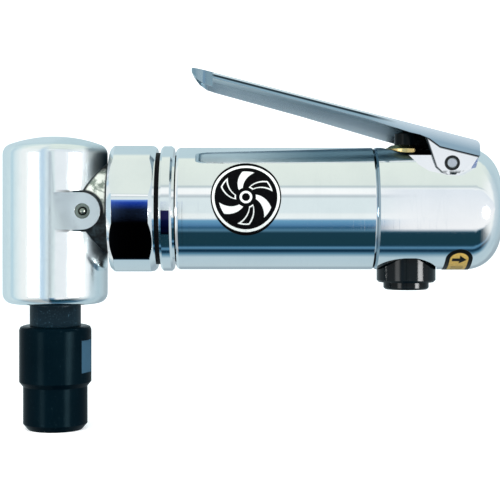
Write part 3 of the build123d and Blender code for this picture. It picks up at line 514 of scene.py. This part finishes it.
def nut_material():
    """Blued collet nut with a painted highlight on its wrench flat."""
    g, material, shader = new_material("black_oxide_nut")
    x, y, z = [g.math("MULTIPLY", axis, 1000.0) for axis in g.axes()]
    turn = math.radians(NUT_FLAT_TURN)
    reach = g.math("ADD", g.math("MULTIPLY", x, math.cos(turn)),
                   g.math("MULTIPLY", y, math.sin(turn)))
    off_flat = g.math("ABSOLUTE", g.math("SUBTRACT", g.math("ABSOLUTE", reach), NUT_FLAT_HALF))
    radius = g.length(x, y)
    flat = g.math("MULTIPLY", inside(g, off_flat, 0.06, 0.03),
                  g.span(radius, NUT_R - 0.06, NUT_R, 1.0, 0.0))
    flat = g.math("MULTIPLY", flat, between(g, z, *NUT_FLAT_Z, 0.05))
    specks = g.noise(g.object_coords(), 1100.0, 5.0, 0.75)
    broad = g.noise(g.object_coords(), 95.0, 3.0, 0.5)
    tint = g.mix(g.span(specks, 0.58, 0.74, 0.0, 0.5, True), (0.001, 0.006, 0.010),
                 (0.02, 0.04, 0.05))
    tint = g.mix(g.span(broad, 0.4, 0.7, 0.0, 0.5), tint, (0.0, 0.003, 0.006))
    # Painted highlight on the wrench flat.
    tint = g.mix(flat, tint, (0.045, 0.11, 0.17))
    g.feed(shader.inputs["Base Color"], tint)
    g.feed(shader.inputs["Roughness"], g.span(g.math("ADD", broad, specks), 0.7, 1.3, 0.17, 0.26))
    shader.inputs["IOR"].default_value = 1.1
    shader.inputs["Specular Tint"].default_value = (0.45, 0.85, 1.0, 1.0)
    bump(g, shader, specks, 0.25, 0.03 * MM)
    return material


def lever_material():
    """Bright pressed steel with painted blue-grey reflections along the flanges, painted shade inside
    the channel, which is also rougher, and painted shadow at the ear.
    """
    g, material, shader = new_material("chrome_lever")
    x, y, up = g.place_mm()
    out = g.math("ABSOLUTE", y)
    facing = g.facing()
    within = g.math("MULTIPLY", g.span(out, LEVER_HALF_W - 1.25, LEVER_HALF_W - 1.1, 1.0, 0.0),
                    g.span(facing["Z"], 0.55, 0.7, 1.0, 0.0))
    corner_x = g.math("MAXIMUM", g.math("SUBTRACT", LEVER_NOSE_X + NOSE_CORNER_R, x), 0.0)
    corner_y = g.math("MAXIMUM", g.math("SUBTRACT", out, LEVER_HALF_W - NOSE_CORNER_R), 0.0)
    rim = g.span(g.length(corner_x, corner_y), NOSE_CORNER_R - 0.12, NOSE_CORNER_R - 0.06, 0.0, 1.0)
    ear = g.math("MULTIPLY", g.span(x, LEVER_EAR_X, LEVER_EAR_X + 0.3, 0.0, 1.0),
                 g.math("SUBTRACT", 1.0, rim))
    ear = g.math("MULTIPLY", ear, g.span(g.math("ABSOLUTE", facing["Y"]), 0.5, 0.7, 0.0, 1.0))
    past_crease = g.math("SUBTRACT", x, CREASE_X)
    drops = [g.math("MULTIPLY", past_crease, fall) for fall in CREASE_FALLS]
    crease = g.math("SUBTRACT", CREASE_Z, g.math("MINIMUM", *drops))
    under = g.math("SUBTRACT", crease, up)
    # Each edge of the ear passes through a point, and leans back by so much per mm below it.
    edges = []
    for edge_x, edge_z, lean in (EAR_EDGE, EAR_HEEL):
        back = g.math("MULTIPLY", g.math("SUBTRACT", edge_z, up), lean)
        edges.append(g.math("ADD", back, edge_x))
    from_edge = g.math("SUBTRACT", x, g.math("MAXIMUM", *edges))
    # Painted shadow at the ear: above the crease, along the ear's front edge, and mottled near its
    # sole.
    line = g.math("MAXIMUM", g.span(under, 0.35, 0.75, 1.0, 0.0),
                  g.span(from_edge, 0.3, 0.7, 1.0, 0.0))
    marks = g.noise(g.object_coords(), 700.0, 3.0, 0.6)
    sole = g.math("MULTIPLY", g.span(up, EAR_SOLE_Z, EAR_SOLE_Z + 1.0, 1.0, 0.0),
                  g.span(marks, 0.42, 0.55, 0.0, 1.0))
    line = g.math("MULTIPLY", g.math("MAXIMUM", line, sole), ear)
    top = g.math("SUBTRACT", LEVER_TOP_Z, g.math("MULTIPLY", x, LEVER_FALL))
    depth = g.math("SUBTRACT", top, up)
    patches = g.noise(g.object_coords(), 60.0, 4.0, 0.6)
    fine = g.noise(g.object_coords((2.0, 14.0, 14.0)), 320.0, 3.0, 0.6)
    tint = g.mix(g.span(patches, 0.38, 0.68, 0.0, 0.35, True), (0.93, 0.945, 0.955),
                 (0.74, 0.77, 0.79))
    # Painted shade under the lever: light at the nose, darker towards the rear, blue-grey where
    # facing down, and black past the plunger.
    beneath = g.mix(g.span(x, 50.0, 92.0, 0.0, 1.0, True), (0.78, 0.85, 0.87), (0.22, 0.33, 0.39))
    channel_shade = g.mix(g.span(facing["Z"], -0.75, -0.45, 0.0, 1.0), beneath, (0.25, 0.37, 0.45))
    channel_shade = g.mix(g.span(x, 119.0, 122.0, 0.0, 1.0), channel_shade, (0.02, 0.03, 0.035))
    tint = g.mix(within, tint, channel_shade)
    # Painted reflections on the rim: towards the rear, light at the top edge fading to blue-grey;
    # further forward, a light top, a dark line and a blue-grey face; blue-grey at the nose.
    nose = g.span(x, LEVER_NOSE_END_X - 0.8, LEVER_NOSE_END_X, 1.0, 0.0)
    rim_reflection = g.mix(g.span(depth, 0.3, 3.6, 0.0, 1.0), (0.66, 0.76, 0.82), (0.30, 0.43, 0.52))
    forward = g.span(x, 102.0, 114.0, 1.0, 0.0, True)
    flange = g.mix(g.span(depth, 0.5, 0.7, 0.0, 1.0), (0.86, 0.91, 0.94), (0.33, 0.46, 0.55))
    rim_reflection = g.mix(forward, rim_reflection, flange)
    lip = g.math("MULTIPLY", between(g, depth, 0.6, 1.3, 0.1), forward)
    rim_reflection = g.mix(lip, rim_reflection, (0.03, 0.05, 0.065))
    rim_reflection = g.mix(nose, rim_reflection, (0.28, 0.39, 0.46))
    tint = g.mix(rim, tint, rim_reflection)
    tint = g.mix(line, tint, (0.02, 0.03, 0.035))
    g.feed(shader.inputs["Base Color"], tint)
    shader.inputs["Metallic"].default_value = 1.0
    rough = g.span(patches, 0.3, 0.7, 0.07, 0.12)
    g.feed(shader.inputs["Roughness"], g.math("ADD", rough, g.math("MULTIPLY", within, 0.25)))
    bump(g, shader, fine, 0.14, 0.02 * MM)
    return material


def tinted(g, made, where, colour):
    """Lay a colour over a finished material's own colour."""
    socket = made.node_tree.nodes["Principled BSDF"].inputs["Base Color"]
    g.feed(socket, g.mix(where, socket.links[0].from_socket, colour))
    return made


def groove_shade(made):
    """Paint shade on the sides of the narrow groove where the rear housing meets the barrel."""
    g = Graph(made.node_tree)
    x = g.place_mm()[0]
    groove = between(g, x, SEAM_X - 0.65, SEAM_X + 0.7, 0.05)
    return tinted(g, made, groove, (0.30, 0.40, 0.47))


def reflection_band(made, low, high, fade_from, bottom, top):
    """Paint a reflection on the outer face of a finished ring or nut between two heights, blending
    upward.
    """
    g = Graph(made.node_tree)
    up = g.place_mm()[2]
    outer = g.span(g.math("ABSOLUTE", g.facing()["X"]), 0.15, 0.3, 1.0, 0.0)
    band = g.math("MULTIPLY", outer, between(g, up, low, high, 0.15))
    shade = g.mix(g.span(up, fade_from, high, 0.0, 1.0), bottom, top)
    return tinted(g, made, band, shade)


def shaded_below_lever(made, from_x, low, half_width, colour):
    """Darken a finished material in the nook under the rear of the lever."""
    g = Graph(made.node_tree)
    x, y, up = g.place_mm()
    out = g.math("ABSOLUTE", y)
    nook = g.math("MULTIPLY", g.span(x, from_x, from_x + 1.2, 0.0, 1.0, True),
                  g.span(up, low, low + 1.0, 0.0, 1.0))
    nook = g.math("MULTIPLY", nook, g.span(out, half_width, half_width + 0.1, 1.0, 0.0))
    nook = g.math("MULTIPLY", nook, g.span(x, NOOK_END_X - 3.0, NOOK_END_X, 1.0, 0.0, True))
    return tinted(g, made, nook, colour)


def badge_material():
    """Black disc with a white ring and a white vane-wheel emblem."""
    g, material, shader = new_material("badge_print")
    along, up = surface_offsets(g, "round_badge", math.radians(BADGE_ANGLE))
    radius = g.length(along, up)
    turn = g.math("ARCTAN2", up, along)
    wedges = g.math("MULTIPLY", turn, BADGE_BLADES / (2 * math.pi))
    swirl = g.math("ADD", wedges, g.math("MULTIPLY", radius, 0.11))
    blade = g.math("FRACT", g.math("ADD", swirl, 10.0))
    blades = g.math("MULTIPLY", between(g, blade, 0.16, 0.58, 0.02),
                    between(g, radius, 3.2, 8.7, 0.06))
    core = g.math("MULTIPLY", between(g, blade, 0.225, 0.515, 0.02),
                  between(g, radius, 3.6, 8.3, 0.06))
    pair = g.math("FRACT", g.math("ADD", g.math("MULTIPLY", swirl, 0.5), 10.0))
    every_other = g.math("GREATER_THAN", pair, 0.5)
    core = g.math("MULTIPLY", core, every_other)
    white = g.math("MAXIMUM", between(g, radius, 10.05, 10.85, 0.06),
                   between(g, radius, 1.3, 2.0, 0.06))
    white = g.math("MAXIMUM", white, g.math("SUBTRACT", blades, core))
    scuff = g.noise(g.object_coords(), 900.0, 4.0, 0.7)
    ink = g.mix(g.span(scuff, 0.5, 0.8, 0.0, 0.35), linear((0.02, 0.02, 0.025)),
                linear((0.10, 0.10, 0.11)))
    pale = g.mix(g.span(scuff, 0.45, 0.8, 0.0, 0.5), linear((0.93, 0.94, 0.92)),
                 linear((0.74, 0.76, 0.75)))
    g.feed(shader.inputs["Base Color"], g.mix(white, ink, pale))
    shader.inputs["IOR"].default_value = 1.12
    g.feed(shader.inputs["Roughness"], g.span(scuff, 0.3, 0.75, 0.28, 0.5))
    bump(g, shader, g.math("ADD", white, g.math("MULTIPLY", scuff, 0.3)), 0.25, 0.03 * MM)
    return material


def label_material():
    """Yellow stadium with a black border, an arrow and plain bars."""
    g, material, shader = new_material("label_print")
    along, up = surface_offsets(g, "direction_label", math.radians(LABEL_ANGLE))
    beyond = g.math("MAXIMUM", g.math("SUBTRACT", g.math("ABSOLUTE", up), 5.0), 0.0)
    border = g.math("SUBTRACT", 1.0, inside(g, g.length(along, beyond), LABEL_BORDER_R))
    offset = g.math("ABSOLUTE", g.math("SUBTRACT", up, LABEL_ARROW_Z))
    shaft = g.math("MULTIPLY", inside(g, offset, 0.85), between(g, along, -2.3, 0.3))
    slope = g.math("SUBTRACT", 2.3, g.math("MULTIPLY", g.math("SUBTRACT", along, 0.1), 0.95))
    head = g.math("MULTIPLY", inside(g, g.math("SUBTRACT", offset, slope), 0.0),
                  between(g, along, 0.1, 2.7))
    row = g.math("FRACT", g.math("ADD", g.math("MULTIPLY", up, 0.55), 10.0))
    off_row = g.math("ABSOLUTE", g.math("SUBTRACT", row, 0.5))
    bars = g.math("MULTIPLY", inside(g, g.math("ABSOLUTE", along), 2.0),
                  inside(g, off_row, 0.16, 0.05))
    bars = g.math("MULTIPLY", bars, inside(g, up, 0.6))
    dark = g.math("MAXIMUM", g.math("MAXIMUM", border, shaft), g.math("MAXIMUM", head, bars))
    scuff = g.noise(g.object_coords(), 1100.0, 4.0, 0.7)
    yellow = g.mix(g.span(scuff, 0.4, 0.75, 0.0, 0.6), linear((0.98, 0.80, 0.42)),
                   linear((0.80, 0.62, 0.32)))
    g.feed(shader.inputs["Base Color"], g.mix(dark, yellow, linear((0.03, 0.03, 0.03))))
    shader.inputs["IOR"].default_value = 1.2
    g.feed(shader.inputs["Roughness"], g.span(scuff, 0.3, 0.75, 0.3, 0.5))
    bump(g, shader, scuff, 0.2, 0.02 * MM)
    return material


CHROME = (0.955, 0.965, 0.97)
CHROME_DULL = (0.80, 0.83, 0.85)

rear_metal = groove_shade(metal("chrome_rear", CHROME, CHROME_DULL, 0.085, 0.04, wear=0.25))
nut_metal = metal("chrome_nut", CHROME, CHROME_DULL, 0.06, 0.04, 0.1, wear=0.3, lines=0.15)
ring_metal = metal("chrome_ring", CHROME, CHROME_DULL, 0.06, 0.04, 0.1, wear=0.3)
brass_metal = metal("brass", (0.74, 0.58, 0.26), (0.40, 0.28, 0.10), 0.22, 0.12, 0.4, 2, wear=0.6)
materials = {
    "chrome_barrel": groove_shade(metal("chrome_barrel", CHROME, CHROME_DULL, 0.045, 0.03, wear=0.25)),
    "chrome_rear": shaded_below_lever(rear_metal, 118.0, 10.5, 10.3, (0.015, 0.02, 0.022)),
    # Painted reflections on the outer faces of the clamp nut and the lock ring.
    "chrome_nut": reflection_band(nut_metal, -16.5, 2.8, -4.5, (0.012, 0.014, 0.018), (0.22, 0.38, 0.85)),
    "chrome_ring": reflection_band(ring_metal, -8.3, -0.6, -8.3, (0.01, 0.01, 0.05), (0.02, 0.02, 0.09)),
    "chrome_lever": lever_material(),
    "head_metal": head_material(),
    "fitting_steel": metal("fitting_steel", (0.34, 0.38, 0.33), (0.06, 0.07, 0.055), 0.2, 0.1, 0.3, 1,
                           wear=0.8),
    "dark_steel": metal("dark_steel", (0.10, 0.10, 0.105), (0.04, 0.04, 0.04), 0.4, 0.2, 0.4,
                        wear=0.5),
    "bearing_steel": metal("bearing_steel", (0.75, 0.76, 0.77), (0.5, 0.5, 0.5), 0.12, 0.08, 0.1),
    "gear_steel": metal("gear_steel", (0.45, 0.45, 0.45), (0.2, 0.19, 0.18), 0.28, 0.15, 0.4),
    "collet_steel": metal("collet_steel", (0.30, 0.30, 0.31), (0.12, 0.12, 0.12), 0.3, 0.15, 0.3, 2),
    "spring_steel": metal("spring_steel", (0.35, 0.36, 0.38), (0.16, 0.16, 0.17), 0.3, 0.1, 0.1),
    "plate_iron": metal("plate_iron", (0.33, 0.33, 0.33), (0.18, 0.17, 0.16), 0.45, 0.2, 0.5),
    "rotor_steel": metal("rotor_steel", (0.5, 0.5, 0.5), (0.3, 0.3, 0.29), 0.25, 0.1, 0.5),
    "inlet_steel": metal("inlet_steel", (0.55, 0.55, 0.56), (0.25, 0.25, 0.25), 0.25, 0.12, 0.4),
    "pin_steel": metal("pin_steel", (0.60, 0.64, 0.70), (0.30, 0.32, 0.35), 0.3, 0.15, 0.3, 1,
                       wear=0.5),
    "brass": shaded_below_lever(brass_metal, 118.4, 10.0, 12.0, (0.01, 0.01, 0.01)),
    "black_oxide": coated("black_oxide", (0.006, 0.022, 0.034), (0.10, 0.22, 0.30), 0.34, 1500.0, 0.8,
                          ior=1.2),
    "clip_steel": coated("clip_steel", (0.008, 0.010, 0.011), (0.05, 0.06, 0.06), 0.3, 900.0, 0.5,
                         ior=1.3),
    "black_oxide_nut": nut_material(),
    "black_rubber": coated("black_rubber", (0.004, 0.004, 0.005), (0.02, 0.02, 0.02), 0.6, 700.0, 0.5,
                           ior=1.2),
    "gasket_fibre": coated("gasket_fibre", (0.10, 0.11, 0.10), (0.2, 0.2, 0.19), 0.8, 900.0, 0.6),
    "vane_composite": coated("vane_composite", (0.16, 0.10, 0.06), (0.26, 0.18, 0.11), 0.55, 800.0,
                             0.6),
    "black_plastic": coated("black_plastic", (0.003, 0.007, 0.009), (0.012, 0.02, 0.022), 0.16, 500.0,
                            0.5, ior=1.2, pit=0.08),
    "black_knob": coated("black_knob", (0.003, 0.006, 0.008), (0.012, 0.018, 0.02), 0.12, 420.0, 0.5,
                         ior=1.25, pit=0.04),
    "badge_face": badge_material(),
    "label_face": label_material(),
}

slot_of = {entry["node"]: entry["material_slot"] for entry in frame["record"]["subparts"]}
for name, thing in nodes.items():
    thing.data.materials.clear()
    thing.data.materials.append(materials[slot_of[name]])


# ---------------------------------------------------------------- edges
def smoothing_group(angle):
    """Geometry nodes that shade smooth and keep edges sharper than the angle crisp."""
    tree = bpy.data.node_groups.new("smooth_by_angle", "GeometryNodeTree")
    tree.interface.new_socket("Geometry", in_out="INPUT", socket_type="NodeSocketGeometry")
    tree.interface.new_socket("Geometry", in_out="OUTPUT", socket_type="NodeSocketGeometry")
    g = Graph(tree)
    start = g.node("NodeGroupInput")
    weld = g.node("GeometryNodeMergeByDistance")
    weld.inputs["Distance"].default_value = 0.002 * MM
    g.links.new(start.outputs[0], weld.inputs["Geometry"])
    faces = g.node("GeometryNodeSetShadeSmooth", domain="FACE")
    g.links.new(weld.outputs[0], faces.inputs["Geometry"])
    faces.inputs["Shade Smooth"].default_value = True
    sharp = g.node("FunctionNodeCompare", data_type="FLOAT", operation="GREATER_THAN")
    edge = g.node("GeometryNodeInputMeshEdgeAngle")
    g.links.new(edge.outputs["Unsigned Angle"], sharp.inputs[0])
    sharp.inputs[1].default_value = angle
    edges = g.node("GeometryNodeSetShadeSmooth", domain="EDGE")
    g.links.new(faces.outputs[0], edges.inputs["Geometry"])
    g.links.new(sharp.outputs[0], edges.inputs["Selection"])
    edges.inputs["Shade Smooth"].default_value = False
    out = g.node("NodeGroupOutput")
    g.links.new(edges.outputs[0], out.inputs[0])
    return tree


SMOOTH_ANGLE = 28
BEVEL_ANGLE = 35
# Width in mm of the softened edges.
SOFT_EDGES = {
    "clamp_nut": 0.35, "throttle_lever": 0.22, "angle_head": 0.3, "collet_nut": 0.25, "spindle": 0.15,
    "throttle_housing": 0.15, "valve_bushing": 0.12, "regulator_knob": 0.15, "lever_pin": 0.15,
    "valve_plunger": 0.15,
}

smooth = smoothing_group(math.radians(SMOOTH_ANGLE))
for name, thing in nodes.items():
    thing.modifiers.new("smooth", "NODES").node_group = smooth
    if name in SOFT_EDGES:
        bevel = thing.modifiers.new("soft_edges", "BEVEL")
        bevel.width = SOFT_EDGES[name] * MM
        bevel.segments = 2
        bevel.limit_method = "ANGLE"
        bevel.angle_limit = math.radians(BEVEL_ANGLE)
        bevel.harden_normals = True
    even = thing.modifiers.new("even_normals", "WEIGHTED_NORMAL")
    even.mode = "FACE_AREA_WITH_ANGLE"
    even.weight = 90
    even.keep_sharp = True


# ---------------------------------------------------------------- valve spring
# The spring stands on the floor below it; a copy of it, tied to the housing, is shown in place of the
# CAD part.
housed = nodes["valve_spring"]
coil = bpy.data.objects.new("valve_spring_coil", housed.data.copy())
bpy.context.scene.collection.objects.link(coil)
coil.matrix_world = housed.matrix_world.copy()
coil.modifiers.new("smooth", "NODES").node_group = smooth
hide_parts("valve_spring")
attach(coil, "housing")
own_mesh(coil)


# ---------------------------------------------------------------- lights, floor, camera
build_world()
floor_z = cad_box[0].z
build_backdrop(floor_z)
soft_light("key", (-0.25, -0.9, 0.95), (0.06, 0, AXIS_Z), (0.9, 0.7), 9.0, (1.0, 1.0, 0.99))
strip_light((KNOB_X + 0.32, -0.26, AXIS_Z - 0.05), (KNOB_X, 0, AXIS_Z - 0.02), (0.16, 0.04), 0.5)
soft_light("fill", (0.8, -0.7, 0.45), (0.06, 0, AXIS_Z), (0.8, 0.8), 5.0, (0.95, 0.98, 1.0))

camera_data = bpy.data.cameras.new("camera")
camera_data.lens = FOCAL_MM
camera_data.sensor_width = 36.0
camera_data.shift_y = SHIFT_Y
camera_data.clip_start = 0.01
camera_data.clip_end = 50.0
camera = bpy.data.objects.new("camera", camera_data)
bpy.context.scene.collection.objects.link(camera)
camera.location = (VIEW_X, -CAMERA_DISTANCE, AXIS_Z)
camera.rotation_euler = (math.radians(90), 0, 0)
bpy.context.scene.camera = camera
bpy.context.scene.view_settings.view_transform = "Standard"
